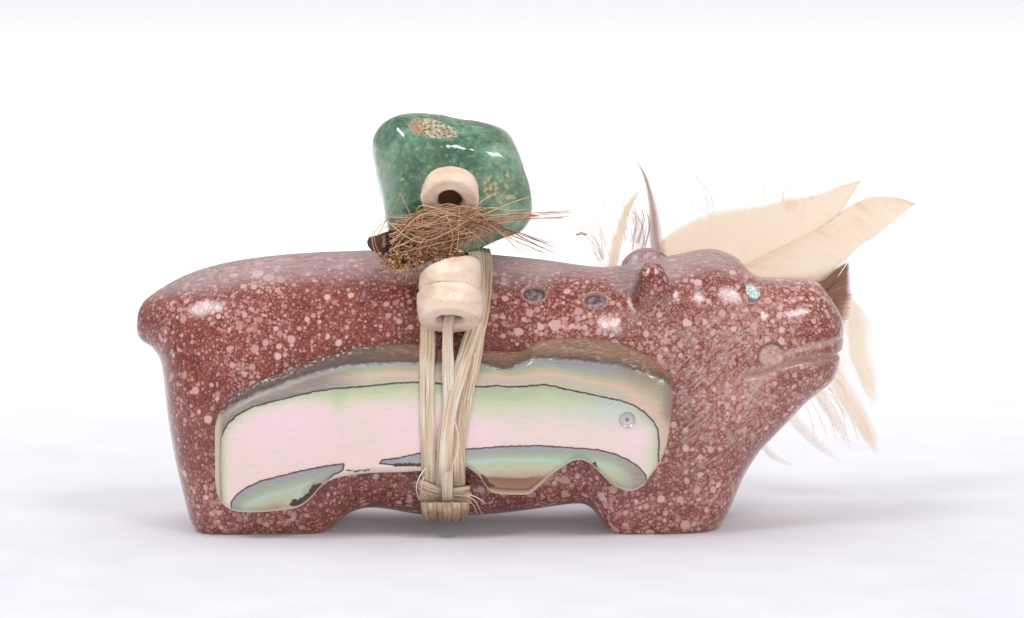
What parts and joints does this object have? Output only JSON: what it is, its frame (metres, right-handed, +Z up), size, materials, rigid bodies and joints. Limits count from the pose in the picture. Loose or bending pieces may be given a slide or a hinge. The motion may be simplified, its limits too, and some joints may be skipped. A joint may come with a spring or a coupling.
{
  "type": "zuni fetish",
  "caption": "Carved red stone animal on block feet, with a shell plaque, beads, a green nugget, a tuft and feathers bound on by sinew.",
  "frame": {"origin": "centre of the bounding box on X and Y, at the underside of the feet", "axes": "+X toward the snout along the length, -Y the side with the shell plaque, +Z up"},
  "size_m": [0.079, 0.0292, 0.0411],
  "materials": {
    "red_stone": "polished dark red stone with dense pinkish grey round spots",
    "inlay_stone": "pale green stone with dark veins",
    "abalone": "polished iridescent abalone shell with a rough brown rim",
    "sinew": "waxed fibrous tan sinew",
    "cream_shell": "satin cream shell",
    "green_stone": "tumbled glossy green stone with tan matrix",
    "dried_hair": "dull dried hair",
    "cream_feather": "matte feather",
    "brown_feather": "matte feather"
  },
  "bodies": {
    "root": {"stone_animal": "red_stone", "near_eye": "inlay_stone", "far_eye": "inlay_stone", "shell_plaque": "abalone", "sinew_lashing": "sinew", "bottom_shell_bead": "cream_shell", "middle_shell_bead": "cream_shell", "top_shell_bead": "cream_shell", "green_nugget": "green_stone", "hair_tuft": "dried_hair", "short_cream_feather": "cream_feather", "short_brown_feather": "brown_feather", "large_cream_feather": "cream_feather", "brown_feather": "brown_feather", "drooping_cream_feather": "cream_feather"}
  },
  "joints": []
}
